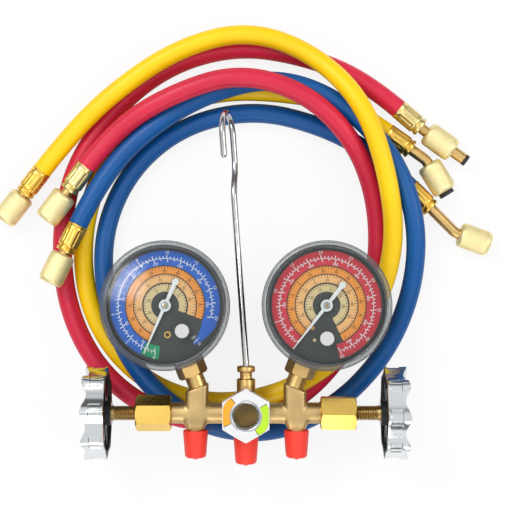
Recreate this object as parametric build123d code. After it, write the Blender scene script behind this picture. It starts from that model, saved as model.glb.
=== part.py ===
"""Refrigerant manifold gauge: two-valve brass manifold, two gauges, hook and three service hoses.

Millimetres. +X runs towards the high-side gauge, +Y towards the gauges and the hook, +Z out of
the dials. The origin is the centre of the manifold's box, with the hoses left out of that box.
"""
from build123d import *
from math import acos, atan, cos, degrees, pi, radians, sin, sqrt, tan
import os

os.makedirs("parts", exist_ok=True)

# ---- fits -------------------------------------------------------------------------------------
RUN_FIT = 0.05          # radial, between a turning piece and its bore
STOP_GAP = 0.3          # between moving pieces that would meet at a stop
AIR = 0.2               # end float inside a blind bore

# ---- manifold body ----------------------------------------------------------------------------
TUBE_R = 6.45           # round gallery that joins the bosses
TUBE_END = 45.2         # where the bonnets start
SPIGOT_R = 5.9          # threaded ends inside the bonnets
SPIGOT_LEN = 7.0
GALLERY_R = 3.2
SEAT_AT = 22.5          # valve seats, from the centre
CHAMBER_R = 4.6
BOSS_X = 29.6           # gauge columns
BOSS_W = 13.8
BOSS_DEEP = 13.2
BOSS_ROUND = 3.4
BOSS_FLARE = 2.2        # extra width where the port's boss leaves the gallery
BOSS_MID_FLARE = 0.4
BOSS_MID_DEEP = 12.4
BOSS_MID_ROUND = 3.2
BOSS_MID_UP = 4.2       # from the boss's foot to its middle section
BOSS_FOOT_W = 10.2
BOSS_FOOT_ROUND = 2.2
GAUGE_TILT = 21.0       # each gauge leans outwards
FACE_X = 29.0           # centre of the sloping face on a gauge column
FACE_Y = 16.1
PORT_X = 30.5
PORT_R = 5.55           # 1/4 SAE flare
PORT_BORE = 2.4
PORT_LEN = 13.2         # from the foot of the boss to the flare's tip
FLARE = 1.5
SIDE_PORT_Y = 10.0      # foot of the side ports' bosses, below the axis
MID_PORT_Y = 13.7
HOOK_BOSS_R = 5.9
HOOK_BOSS_Y = 13.3
SIGHT_BOSS_R = 12.9
SIGHT_SEAT_Z = 8.0

# ---- sight glass ------------------------------------------------------------------------------
SIGHT_AF = 28.0
SIGHT_FRONT = 17.0
SIGHT_SPIGOT_R = 11.4
SIGHT_SPIGOT_LEN = 3.0
LENS_R = 9.3
LENS_FACE_R = 7.25
LENS_RING_R = 8.45
LENS_FLANGE = 1.8
LENS_FRONT = 15.9
DISC_THICK = 0.8

# ---- hook -------------------------------------------------------------------------------------
NUT_TOP = 28.5
NUT_FLANGE_R = 5.45
NUT_FLANGE = 3.7
NUT_NECK_R = 3.65
NUT_NECK = 3.9
NUT_BODY_R = 5.6
NUT_SCREW_R = 2.9
NUT_SCREW = 5.0
ROD_R = 1.9
ROD_HEAD_R = 2.6
ROD_HEAD = 2.0
ROD_FLOOR = 19.5        # where the wide bore of the nut stops
HOOK_LEAN = 4.1
HOOK_TURN = 12.0
HOOK_STRAIGHT = 98.5
HOOK_RISE = 26.0
HOOK_OFFSET = 9.0
HOOK_SHANK = 13.0
HOOK_BOW_R = 14.0
HOOK_TIP = 12.0

# ---- caps -------------------------------------------------------------------------------------
CAP_R = 7.6
CAP_END_R = 6.4
CAP_LEN = 16.7
CAP_ROUND = 1.4
CAP_NUB = 1.2

# ---- valves -----------------------------------------------------------------------------------
BONNET_AF = 19.0
BONNET_END = 66.5
PACKING_LEN = 3.0
PACKING_IN_R = 3.0
STEM_R = 4.7            # screw thread, over its crests
STEM_STEP = 58.0        # where the thread starts behind the packing
STEM_END = 81.0
STEM_HUB_R = 4.0
STEM_HUB = 11.0
STEM_TAIL_R = 1.8
STEM_TAIL = 2.6
DISC_R = 4.2
DISC_LEN = 3.8
VALVE_LEAD = 1.5        # travel for each turn of a handwheel
TURNS_SHUT = 1.0        # turns from the pose built here to closed

# ---- handwheels -------------------------------------------------------------------------------
WHEEL_R = 28.0
WHEEL_IN = 83.5
WHEEL_OUT = 94.5
WHEEL_WALL_R = 25.4
WHEEL_HOLLOW_R = 22.8
WHEEL_WEB = 3.2
HUB_R = 7.6
LOBES = 8
LOBE_R = 3.9
LOBE_FLARE_R = 5.0
LOBE_TOP = 98.5
RIB = 1.6
PANEL_W = 8.4
PANEL_L = 7.0
PANEL_DEEP = 0.7
SCREW_R = 2.0
SCREW_LEN = 8.0
SCREW_HEAD_R = 5.2
SCREW_HEAD = 2.2

# ---- gauges (distances from a gauge's centre) --------------------------------------------------
CASE_R = 36.0
CASE_WALL = 1.4
CASE_BACK = -12.0
CASE_FRONT = 16.0
CASE_ROUND = 3.0
DIAL_FIT = 0.2          # between the dial and the case's wall
DIAL_Z = 13.2
DIAL_THICK = 0.8
DIAL_HOLE_R = 1.6
LEDGE = 1.4
COVER_WALL = 2.5
COVER_OVERLAP = 1.2     # how far the cover's face reaches in over the case's wall
COVER_FRONT = 20.5
COVER_THICK = 2.2
COVER_SKIRT = 8.6
COVER_ROUND = 2.4
SOCKET_AF = 16.0
SOCKET_HEX_OUT = 10.1   # length of the hexagon outside the case
SOCKET_NECK_R = 5.65
SOCKET_NECK = 6.9
SOCKET_THREAD_R = 4.0
SOCKET_THREAD = 4.5
SOCKET_STEM_R = 5.2
SOCKET_BORE = 1.0
BLOCK_W = 12.0
BLOCK_TOP = 12.0
BLOCK_INSET = 4.6       # from the case's wall to the block
BLOCK_THICK = 7.0
COIL_INSET = 11.0       # from the case's outside to the middle of the tube's band
COIL_W = 2.4
COIL_H = 8.0
COIL_WALL = 0.6
COIL_BASE = -7.0
PLATE_W = 16.0
PLATE_LOW = -12.0
PLATE_HIGH = 20.0
PLATE_THICK = 1.2
PLATE_GAP = 7.8
PILLAR_R = 1.2
PILLAR_X = 6.4
PIVOT_R = 0.6
PINION_R = 1.78
PINION_LEN = 3.4
PINION_Z = 4.0
ARBOR_R = 0.9
MESH_GAP = 0.07
SECTOR_R = 14.35
SECTOR_HALF = 25.0
SECTOR_Z = 4.6
SECTOR_THICK = 2.0
SECTOR_TAIL = 7.0
SECTOR_ARM = 3.0
LINK_THICK = 0.8
LINK_W = 4.2
LINK_INSET = 13.0       # from the tube's bend to its pin
POINTER_Z = 15.2
POINTER_THICK = 0.8
POINTER_SHORT = 3.4     # from the needle's tip to the dial's edge
POINTER_TIP_W = 0.7
POINTER_W = 2.2
POINTER_TAIL_W = 3.4
POINTER_TAIL = 17.5
POINTER_HUB_R = 3.6
POINTER_HUB = 1.8
PLUG_R = 4.2
PLUG_STEM_R = 2.9
PLUG_HEAD = 0.8
LOW_NEEDLE = 23.6       # degrees clockwise from straight down, seen from the front
HIGH_NEEDLE = 37.7
LOW_LEAD = 40.6         # pointer travel that the sector has behind it as built
HIGH_LEAD = 0.0
LOW_TRAVEL = 250.0      # middle of each pointer's travel sets the sector's place
HIGH_TRAVEL = 334.0
GEAR = 8.0
LOW_PLUG = (-35.0, 18.1)
HIGH_PLUG = (0.0, 19.3)

# ---- hoses ------------------------------------------------------------------------------------
HOSE_R = 6.0
FERRULE_R = 6.3
FERRULE_WAIST = 6.05
FERRULE_LEN = 18.5
FERRULE_BAND = 3.2
TAIL_R = 3.4
TAIL_BORE = 1.6
COLLAR_R = 5.2
COLLAR = 3.0
NOSE = 2.0
FLARE_NUT_R = 7.75
FLARE_NUT_LEN = 20.0
NUT_WALL = 3.4
NUT_THREAD_R = 5.6
NUT_THREAD = 9.4
NUT_RELIEF_R = 5.9
NUT_LIP = 1.0
NOSE_R = 3.6

YELLOW = [(-127.4, 72.8, -26.2), (-111.0, 93.5, -24.7), (-83.0, 120.5, -19.5),
          (-43.5, 147.5, -18.5), (0.0, 159.5, -19.0), (40.0, 146.0, -18.5), (71.5, 114.0, -5.5),
          (87.0, 68.5, -7.0), (92.5, 25.0, -17.5), (79.0, -17.0, -18.5), (49.5, -51.5, -18.0),
          (8.5, -71.0, -24.5), (-35.5, -72.5, -31.0), (-75.0, -52.0, -31.0),
          (-99.5, -14.0, -31.0), (-104.0, 32.0, -31.0), (-91.0, 76.0, -31.0),
          (-60.5, 109.0, -30.5), (-18.0, 123.5, -31.0), (27.0, 122.0, -31.0),
          (64.0, 114.0, -30.7), (88.3, 96.6, -29.3)]
RED = [(-98.6, 74.7, -16.8), (-82.0, 96.5, -16.0), (-48.0, 117.5, -8.0), (-4.5, 131.5, -6.0),
       (37.5, 119.0, -6.5), (68.5, 89.0, -16.0), (83.0, 48.0, -28.5), (81.5, 2.5, -31.0),
       (63.5, -39.0, -31.0), (32.5, -72.5, -31.0), (-9.0, -86.5, -31.0), (-53.5, -81.5, -31.0),
       (-90.5, -56.0, -30.5), (-112.0, -16.5, -31.0), (-117.0, 29.0, -31.0),
       (-109.5, 73.5, -30.5), (-84.5, 111.0, -31.0), (-49.0, 139.5, -30.5),
       (-5.0, 151.5, -30.0), (38.5, 144.5, -31.0), (74.0, 129.5, -29.6), (95.4, 111.5, -29.2)]
BLUE = [(-103.9, 38.7, -17.0), (-92.0, 63.5, -18.5), (-67.5, 93.0, -18.5), (-29.5, 118.0, -17.5),
        (15.5, 131.0, -19.0), (57.0, 117.0, -18.0), (90.0, 84.5, -18.5), (106.0, 42.5, -16.5),
        (104.5, -2.5, -27.0), (86.5, -44.5, -31.0), (54.0, -77.0, -31.0), (12.0, -92.5, -22.0),
        (-32.0, -84.0, -15.5), (-67.0, -55.0, -17.5), (-87.0, -13.5, -24.5),
        (-91.0, 32.0, -30.5), (-74.0, 73.0, -31.0), (-40.0, 101.5, -30.0),
        (5.0, 111.5, -30.5), (48.0, 101.0, -30.0), (83.5, 81.5, -29.6), (102.7, 62.2, -29.2)]
# neck between ferrule and nut at the manifold end; at the service end the tail's straight run,
# the nut's heading, the tail's nose, and the gasket's radius, overlap on the nose and thickness
HOSES = {
    "yellow": (YELLOW, 1.0, 11.0, -58.0, 13.4, (4.9, 4.0, 2.8)),
    "red": (RED, 3.0, 1.6, -36.0, 21.6, (3.6, 0.0, 2.5)),
    "blue": (BLUE, 1.5, 21.0, -20.0, 2.0, (4.6, 2.0, 1.8)),
}
NEAR_SEAL = (4.6, 2.0, 1.8)
TAIL_BEND = 8.0
NUT_RUN = 3.0           # straight tail between its bend and its nut

# ---- worked out from the sizes above ----------------------------------------------------------
TILT = radians(GAUGE_TILT)
COVER_R = CASE_R + COVER_WALL
DIAL_R = CASE_R - CASE_WALL - DIAL_FIT
SOCKET_HEX_END = CASE_R + SOCKET_HEX_OUT
BLOCK_BOTTOM = CASE_R - CASE_WALL - BLOCK_INSET
COIL_R = CASE_R - COIL_INSET
LINK_REACH = COIL_R - LINK_INSET
POINTER_LEN = DIAL_R - POINTER_SHORT
REACH = SOCKET_HEX_END + SOCKET_NECK
GAUGE_X = FACE_X + REACH * sin(TILT)
GAUGE_Y = FACE_Y + REACH * cos(TILT)
LEAN = radians(HOOK_LEAN)
LEAN_Y = NUT_TOP + 1.5
HOOK_TOP = (HOOK_STRAIGHT + HOOK_RISE + HOOK_SHANK + HOOK_BOW_R) * cos(LEAN) + ROD_R + LEAN_Y
CAP_FOOT = MID_PORT_Y + STOP_GAP + CAP_LEN + CAP_NUB
AXIS_Y = -(HOOK_TOP - CAP_FOOT) / 2
SHIFT = Pos(0, AXIS_Y, 0)
SIGHT_SPIGOT_TOP = SIGHT_SEAT_Z + SIGHT_SPIGOT_LEN
CHAMBER_END = TUBE_END + SPIGOT_LEN
PACKING_AT = CHAMBER_END + AIR
PACKING_END = PACKING_AT + PACKING_LEN
DISC_AT = SEAT_AT + STOP_GAP + VALVE_LEAD * TURNS_SHUT
COVER_INSIDE = COVER_FRONT - COVER_THICK
PIVOT_Y = PINION_R + MESH_GAP + SECTOR_R
UPPER_PLATE = PLATE_THICK + PLATE_GAP
FAR_PORT_TIP = SIDE_PORT_Y + PORT_LEN


# ---- helpers ----------------------------------------------------------------------------------
def spun(profile, plane=Plane.XY):
    """Turn a closed profile of (radius, height) corners about the plane's normal."""
    outline = Polyline(*[(r, 0, h) for r, h in profile], close=True)
    return plane.location * revolve(make_face(outline), Axis.Z)


def rod(radius, start, end, plane=Plane.XY, x=0.0, y=0.0):
    """A round bar along the plane's normal, from one height to another."""
    return plane.location * Pos(x, y, (start + end) / 2) * Cylinder(radius, end - start)


def block(x0, x1, y0, y1, z0, z1, plane=Plane.XY):
    """A box given by its corners in the plane's own directions."""
    middle = Pos((x0 + x1) / 2, (y0 + y1) / 2, (z0 + z1) / 2)
    return plane.location * middle * Box(x1 - x0, y1 - y0, z1 - z0)


def hexagon(flats, start, end, plane=Plane.XY, turn=0.0, low=0.0, high=0.0):
    """A hexagon bar along the plane's normal, its corners turned off at either end."""
    corner = flats / sqrt(3)
    bar = Pos(0, 0, start) * extrude(RegularPolygon(corner, 6, rotation=turn), end - start)
    wide = corner + 0.5
    flat = flats / 2
    turned = [(0, start), (flat if low else wide, start), (wide, start + low),
              (wide, end - high), (flat if high else wide, end), (0, end)]
    if not low:
        turned.pop(2)
    if not high:
        turned.pop(-3)
    return plane.location * (bar & spun(turned))


def clock(angle, reach):
    """A point on a dial: degrees clockwise from straight down, and the distance out."""
    return -reach * sin(radians(angle)), -reach * cos(radians(angle))


def save(name, solid, place=SHIFT):
    """Write one piece as its own STEP file."""
    piece = place * solid
    piece.label = name
    export_step(piece, f"parts/{name}.step")


def valve_plane(side):
    """Normal outwards along the gallery, first direction towards the front."""
    return Plane(origin=(0, 0, 0), x_dir=(0, 0, 1), z_dir=(side, 0, 0))


def port_plane(x):
    """Normal downwards, at a port."""
    return Plane(origin=(x, 0, 0), x_dir=(1, 0, 0), z_dir=(0, -1, 0))


UP = Plane(origin=(0, 0, 0), x_dir=(1, 0, 0), z_dir=(0, 1, 0))
PORTS = ((-PORT_X, SIDE_PORT_Y), (0.0, MID_PORT_Y), (PORT_X, SIDE_PORT_Y))


def gauge_plane(side):
    """A gauge's own frame: second direction away from the manifold, normal out of the dial."""
    return Plane(origin=(side * GAUGE_X, GAUGE_Y, 0), z_dir=(0, 0, 1),
                 x_dir=(cos(TILT), -side * sin(TILT), 0))


def stem_plane(side):
    """Normal from a gauge's centre down along its socket."""
    return Plane(origin=(side * GAUGE_X, GAUGE_Y, 0), x_dir=(cos(TILT), -side * sin(TILT), 0),
                 z_dir=(-side * sin(TILT), -cos(TILT), 0))


# ---- manifold ---------------------------------------------------------------------------------
def gauge_column(side):
    """Square column with a sloping face, and the tapered boss that carries the port below."""
    outline = RectangleRounded(BOSS_W, BOSS_DEEP, BOSS_ROUND)
    column = UP.location * Pos(side * BOSS_X, 0, -4) * extrude(outline, FACE_Y + 12)
    face = stem_plane(side)
    clear = 5 * FACE_Y
    above = face.location * Pos(0, 0, REACH - clear / 2) * Box(clear, clear, clear)
    return column - above


def port_boss(x, foot):
    """Pyramid that narrows from the gallery to the flare port."""
    plane = port_plane(x)
    top = plane.location * Pos(0, 0, 2) * RectangleRounded(BOSS_W + BOSS_FLARE, BOSS_DEEP,
                                                                 BOSS_ROUND)
    mid = plane.location * Pos(0, 0, foot - BOSS_MID_UP) * RectangleRounded(
        BOSS_W + BOSS_MID_FLARE, BOSS_MID_DEEP, BOSS_MID_ROUND)
    end = plane.location * Pos(0, 0, foot) * RectangleRounded(BOSS_FOOT_W, BOSS_FOOT_W,
                                                              BOSS_FOOT_ROUND)
    boss = loft([top, mid]) + loft([mid, end])
    tip = foot + PORT_LEN
    flare = [(0, foot - 1), (PORT_R, foot - 1), (PORT_R, tip - FLARE), (PORT_R - FLARE, tip),
             (0, tip)]
    return boss + spun(flare, plane)


def manifold_body():
    """The forging with every bore through it."""
    body = rod(TUBE_R, -TUBE_END, TUBE_END, valve_plane(1))
    for side in (-1, 1):
        body += rod(SPIGOT_R, 0, CHAMBER_END, valve_plane(side))
        body += gauge_column(side)
    for x, foot in PORTS:
        body += port_boss(x, foot)
    body += rod(HOOK_BOSS_R, 0, HOOK_BOSS_Y, UP)
    body += rod(SIGHT_BOSS_R, -1, SIGHT_SEAT_Z)
    body += rod(SIGHT_SPIGOT_R, 0, SIGHT_SPIGOT_TOP)
    for side in (-1, 1):
        valve = valve_plane(side)
        body -= rod(GALLERY_R, -1, SEAT_AT, valve)
        body -= rod(CHAMBER_R, SEAT_AT, CHAMBER_END + 1, valve)
        stem = stem_plane(side)
        threaded = REACH + SOCKET_THREAD + AIR
        body -= rod(SOCKET_THREAD_R, REACH - 1, threaded, stem)
        body -= rod(SOCKET_BORE, REACH, threaded + 7.5, stem)
    for x, foot in PORTS:
        body -= rod(PORT_BORE, 0, foot + PORT_LEN + 1, port_plane(x))
    body -= rod(NUT_SCREW_R, HOOK_BOSS_Y - NUT_SCREW - AIR, HOOK_BOSS_Y + 1, UP)
    body -= rod(LENS_FACE_R - 1, SIGHT_SPIGOT_TOP - 3.5, SIGHT_SPIGOT_TOP + 1)
    body -= rod(PORT_BORE, 0, SIGHT_SPIGOT_TOP)
    return body


def sight_nut():
    """Hexagon ring that holds the lens down on the boss."""
    shoulder = SIGHT_SPIGOT_TOP + DISC_THICK + LENS_FLANGE
    nut = hexagon(SIGHT_AF, SIGHT_SEAT_Z, SIGHT_FRONT, turn=30, low=0.8, high=1.1)
    nut -= rod(SIGHT_SPIGOT_R, SIGHT_SEAT_Z - 1, SIGHT_SPIGOT_TOP)
    nut -= rod(LENS_R, SIGHT_SEAT_Z, shoulder)
    nut -= rod(LENS_FACE_R, SIGHT_SEAT_Z, SIGHT_FRONT + 1)
    rim = LENS_RING_R - LENS_FACE_R
    nut -= spun([(0, SIGHT_FRONT - rim), (LENS_FACE_R, SIGHT_FRONT - rim),
                 (LENS_RING_R, SIGHT_FRONT), (LENS_RING_R, SIGHT_FRONT + 1),
                 (0, SIGHT_FRONT + 1)])
    return nut


def sight_lens():
    """Stepped glass disc."""
    base = SIGHT_SPIGOT_TOP + DISC_THICK
    glass = rod(LENS_R, base, base + LENS_FLANGE) + rod(LENS_FACE_R, base, LENS_FRONT)
    return glass


def hook_nut():
    """Spool-shaped nut with a screw below and a bore that traps the hook's head."""
    neck_end = NUT_TOP - NUT_FLANGE
    neck_start = neck_end - NUT_NECK
    edge = 0.6
    nut = spun([(0, HOOK_BOSS_Y - NUT_SCREW), (NUT_SCREW_R, HOOK_BOSS_Y - NUT_SCREW),
                (NUT_SCREW_R, HOOK_BOSS_Y), (NUT_BODY_R, HOOK_BOSS_Y),
                (NUT_BODY_R, neck_start - edge), (NUT_BODY_R - edge, neck_start),
                (NUT_NECK_R, neck_start), (NUT_NECK_R, neck_end),
                (NUT_FLANGE_R - edge, neck_end), (NUT_FLANGE_R, neck_end + edge),
                (NUT_FLANGE_R, NUT_TOP - edge), (NUT_FLANGE_R - edge, NUT_TOP), (0, NUT_TOP)], UP)
    nut -= rod(ROD_HEAD_R + RUN_FIT, HOOK_BOSS_Y + 1.5, ROD_FLOOR, UP)
    nut -= rod(ROD_R + RUN_FIT, ROD_FLOOR - 1, NUT_TOP + 1, UP)
    return nut


def hanging_hook():
    """Bent rod, free to turn in the nut."""
    head_end = ROD_FLOOR - AIR
    hook = rod(ROD_HEAD_R, head_end - ROD_HEAD, head_end, UP)
    hook += rod(ROD_R, head_end, LEAN_Y, UP)
    along = Vector(-sin(LEAN), cos(LEAN), 0)
    turn = radians(HOOK_TURN)
    across = Vector(sin(turn) * cos(LEAN), sin(turn) * sin(LEAN), -cos(turn))
    bend = Plane(origin=(0, LEAN_Y, 0), x_dir=across, z_dir=across.cross(along))
    half = 2 * atan(HOOK_OFFSET / HOOK_RISE)
    sway_r = HOOK_RISE / 2 / sin(half)
    straight = Line((0, 0), (0, HOOK_STRAIGHT))
    out = JernArc(straight @ 1, (0, 1), sway_r, -degrees(half))
    back = JernArc(out @ 1, out % 1, sway_r, degrees(half))
    shank = Line(back @ 1, back @ 1 + Vector(0, HOOK_SHANK))
    bow = JernArc(shank @ 1, (0, 1), HOOK_BOW_R, 180)
    tip = Line(bow @ 1, bow @ 1 - Vector(0, HOOK_TIP))
    path = Wire([straight, out, back, shank, bow, tip])
    section = Plane(origin=(0, 0, 0), x_dir=(1, 0, 0), z_dir=(0, 1, 0)) * Circle(ROD_R)
    hook += bend.location * sweep(section, path)
    end = tip @ 1
    hook += bend.location * Pos(end.X, end.Y, 0) * Sphere(ROD_R)
    hook += Pos(0, LEAN_Y, 0) * Sphere(ROD_R)
    return hook


def port_cap(x, foot):
    """Push-on cap, tapered, with a nub at its end and a hollow for the port."""
    top = foot + STOP_GAP
    end = top + CAP_LEN
    cap = spun([(0, top), (CAP_R, top), (CAP_R - 0.3, top + 5), (CAP_END_R, end - CAP_ROUND),
                (CAP_END_R - CAP_ROUND, end), (0, end)], port_plane(x))
    cap += spun([(0, end - 1), (1.6, end - 1), (1.6, end), (0.7, end + CAP_NUB),
                 (0, end + CAP_NUB)], port_plane(x))
    cap -= rod(PORT_R + RUN_FIT, top - 1, foot + PORT_LEN + STOP_GAP, port_plane(x))
    return cap


# ---- valves -----------------------------------------------------------------------------------
def bonnet(side, turn):
    """Hexagon bonnet over the gallery's threaded end, bored for packing and stem."""
    valve = valve_plane(side)
    shape = hexagon(BONNET_AF, TUBE_END, BONNET_END, valve, turn, 1.0, 1.6)
    shape -= rod(SPIGOT_R, TUBE_END - 1, PACKING_END, valve)
    shape -= rod(STEM_R + RUN_FIT, PACKING_END - 1, BONNET_END + 1, valve)
    return shape


def packing(side):
    """Gland packing ring round the stem's shank."""
    valve = valve_plane(side)
    ring = rod(SPIGOT_R, PACKING_AT, PACKING_END, valve)
    return ring - rod(PACKING_IN_R + RUN_FIT, PACKING_AT - 1, PACKING_END + 1, valve)


def valve_disc(side):
    """Closing disc, pushed along the chamber by the stem's nose."""
    valve = valve_plane(side)
    back = DISC_AT + DISC_LEN
    disc = spun([(0, DISC_AT), (DISC_R - 0.8, DISC_AT), (DISC_R, DISC_AT + 0.8), (DISC_R, back),
                 (0, back)], valve)
    return disc - rod(STEM_TAIL_R + RUN_FIT, back - STEM_TAIL - AIR, back + 1, valve)


def stem(side):
    """Nose, shank, screw thread and the end that carries the handwheel."""
    valve = valve_plane(side)
    back = DISC_AT + DISC_LEN
    shape = spun([(0, back - STEM_TAIL), (STEM_TAIL_R, back - STEM_TAIL),
                  (STEM_TAIL_R, back + STOP_GAP), (PACKING_IN_R, back + STOP_GAP),
                  (PACKING_IN_R, STEM_STEP), (STEM_R - 0.6, STEM_STEP),
                  (STEM_R, STEM_STEP + 0.6), (STEM_R, STEM_END), (STEM_HUB_R, STEM_END),
                  (STEM_HUB_R, STEM_END + STEM_HUB), (0, STEM_END + STEM_HUB)], valve)
    return shape - rod(SCREW_R, WHEEL_OUT - SCREW_LEN - AIR, WHEEL_OUT, valve)


def handwheel(side, phase):
    """Hollow lobed wheel with a hub, ribs behind its web and panels between its lobes."""
    valve = valve_plane(side)
    wheel = rod(WHEEL_WALL_R, WHEEL_IN, WHEEL_OUT)
    lobe = spun([(0, WHEEL_IN), (LOBE_R, WHEEL_IN), (LOBE_R, WHEEL_OUT - 3),
                 (LOBE_FLARE_R, LOBE_TOP - 2), (LOBE_FLARE_R - 0.6, LOBE_TOP - 0.6),
                 (LOBE_FLARE_R - 1.6, LOBE_TOP), (0, LOBE_TOP)])
    reach = WHEEL_R - LOBE_FLARE_R
    step = 360 / LOBES
    for i in range(LOBES):
        wheel += Rot(0, 0, phase + i * step) * Pos(reach, 0, 0) * lobe
    wheel -= rod(WHEEL_HOLLOW_R, WHEEL_IN - 1, WHEEL_OUT - WHEEL_WEB)
    wheel += rod(HUB_R, STEM_END, WHEEL_OUT)
    middle = (WHEEL_IN + WHEEL_OUT) / 2
    for i in range(LOBES):
        arm = block(HUB_R - 1, WHEEL_HOLLOW_R + 0.5, -RIB / 2, RIB / 2, WHEEL_IN + 1.2,
                    WHEEL_OUT - 1)
        wheel += Rot(0, 0, phase + (i + 0.5) * step) * arm
        panel = RectangleRounded(PANEL_L, PANEL_W, 1.6)
        pocket = Plane(origin=(WHEEL_WALL_R - PANEL_DEEP, 0, middle), x_dir=(0, 0, 1),
                       z_dir=(1, 0, 0)).location * extrude(panel, 5)
        wheel -= Rot(0, 0, phase + (i + 0.5) * step) * pocket
    wheel -= rod(STEM_HUB_R, STEM_END - 1, STEM_END + STEM_HUB)
    wheel -= rod(SCREW_R + RUN_FIT, STEM_END, WHEEL_OUT + 1)
    return valve.location * wheel


def handwheel_screw(side):
    """Pan-head screw through the hub into the stem."""
    end = WHEEL_OUT + SCREW_HEAD
    return spun([(0, WHEEL_OUT - SCREW_LEN), (SCREW_R, WHEEL_OUT - SCREW_LEN),
                 (SCREW_R, WHEEL_OUT), (SCREW_HEAD_R, WHEEL_OUT), (SCREW_HEAD_R, end - 1.2),
                 (SCREW_HEAD_R - 1.2, end), (0, end)], valve_plane(side))


# ---- gauges -----------------------------------------------------------------------------------
def gauge_socket(side):
    """Block inside the case, hexagon and neck outside it, thread into the manifold."""
    down = stem_plane(side)
    shape = hexagon(SOCKET_AF, CASE_R - CASE_WALL, SOCKET_HEX_END, down, 0, 0, 1.6)
    shape -= gauge_plane(side).location * Cylinder(CASE_R, 60)
    shape += rod(SOCKET_STEM_R, BLOCK_BOTTOM - 2, SOCKET_HEX_END - 2, down)
    shape += block(-BLOCK_W / 2, BLOCK_W / 2, -BLOCK_THICK, 0, BLOCK_TOP, BLOCK_BOTTOM, down)
    shape += rod(SOCKET_NECK_R, SOCKET_HEX_END - 1, REACH, down)
    shape += rod(SOCKET_THREAD_R, REACH - 1, REACH + SOCKET_THREAD, down)
    return shape - rod(SOCKET_BORE, BLOCK_TOP + 5, REACH + SOCKET_THREAD + 1, down)


def case(side):
    """Round cup with a ledge for the dial and a hole for the socket."""
    inner = CASE_R - CASE_WALL
    ledge = inner - LEDGE
    cup = spun([(0, CASE_BACK), (CASE_R - CASE_ROUND, CASE_BACK),
                (CASE_R - 0.9, CASE_BACK + 0.9), (CASE_R, CASE_BACK + CASE_ROUND),
                (CASE_R, CASE_FRONT), (inner, CASE_FRONT), (inner, DIAL_Z), (ledge, DIAL_Z),
                (ledge, CASE_BACK + CASE_WALL), (0, CASE_BACK + CASE_WALL)], gauge_plane(side))
    return cup - rod(SOCKET_STEM_R, CASE_R - 6, CASE_R + 3, stem_plane(side))


def plug_place(side, spot):
    """Where a dial plug sits, in the manifold's directions."""
    dx, dy = clock(*spot)
    return Plane(origin=(side * GAUGE_X + dx, GAUGE_Y + dy, 0))


def cover(side, spot):
    """Clear cover that slips over the case, with a hole for the plug."""
    lid = spun([(0, COVER_INSIDE), (CASE_R - COVER_OVERLAP, COVER_INSIDE),
                (CASE_R - COVER_OVERLAP, CASE_FRONT),
                (CASE_R, CASE_FRONT), (CASE_R, COVER_SKIRT), (COVER_R, COVER_SKIRT),
                (COVER_R, COVER_FRONT - COVER_ROUND),
                (COVER_R - 0.7, COVER_FRONT - 0.7), (COVER_R - COVER_ROUND, COVER_FRONT),
                (0, COVER_FRONT)], gauge_plane(side))
    return lid - rod(PLUG_STEM_R, 0, COVER_FRONT + 1, plug_place(side, spot))


def zero_plug(side, spot):
    """Plug over the zero adjuster's hole."""
    top = COVER_FRONT + PLUG_HEAD
    return spun([(0, COVER_INSIDE - 0.4), (PLUG_STEM_R, COVER_INSIDE - 0.4),
                 (PLUG_STEM_R, COVER_FRONT), (PLUG_R, COVER_FRONT), (PLUG_R, top - 0.3),
                 (PLUG_R - 0.3, top), (0, top)], plug_place(side, spot))


def dial(side):
    """Flat dial with a hole for the arbor."""
    plate = rod(DIAL_R, DIAL_Z, DIAL_Z + DIAL_THICK, gauge_plane(side))
    return plate - rod(DIAL_HOLE_R, DIAL_Z - 1, DIAL_Z + 3, gauge_plane(side))


def bourdon_tube(side):
    """Flattened tube bent round the case from the socket block, closed by a tip with a pin."""
    outer = COIL_R + COIL_W / 2
    inner = COIL_R - COIL_W / 2
    top = COIL_BASE + COIL_H
    ring = spun([(inner, COIL_BASE), (outer, COIL_BASE), (outer, top), (inner, top)])
    bore = spun([(inner + COIL_WALL, COIL_BASE + COIL_WALL),
                 (outer - COIL_WALL, COIL_BASE + COIL_WALL), (outer - COIL_WALL, top - COIL_WALL),
                 (inner + COIL_WALL, top - COIL_WALL)])
    tip_y = PIVOT_Y + SECTOR_TAIL * 0.965
    far = 3 * COIL_R
    start = degrees(acos(LINK_REACH / COIL_R)) - 4
    wedge = make_face(Polyline((0, 0), (far * cos(radians(start)), far * sin(radians(start))),
                               (far, -far), (BLOCK_W / 2 - 1, -far), (0, 0)))
    away = Pos(0, 0, COIL_BASE - 1) * extrude(wedge, COIL_H + 2)
    corner = block(-BLOCK_W / 2, BLOCK_W, -far, 0, COIL_BASE - 1, top + 1)
    tube = ring - bore - away - corner
    tip = block(LINK_REACH - 1.6, LINK_REACH + 1.8, tip_y - 2.2, tip_y + 1.4, COIL_BASE, top)
    pin = rod(PIVOT_R, top - 1, SECTOR_Z + SECTOR_THICK + 2.4, x=LINK_REACH, y=tip_y)
    return gauge_plane(side).location * (tube + tip + pin)


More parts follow.
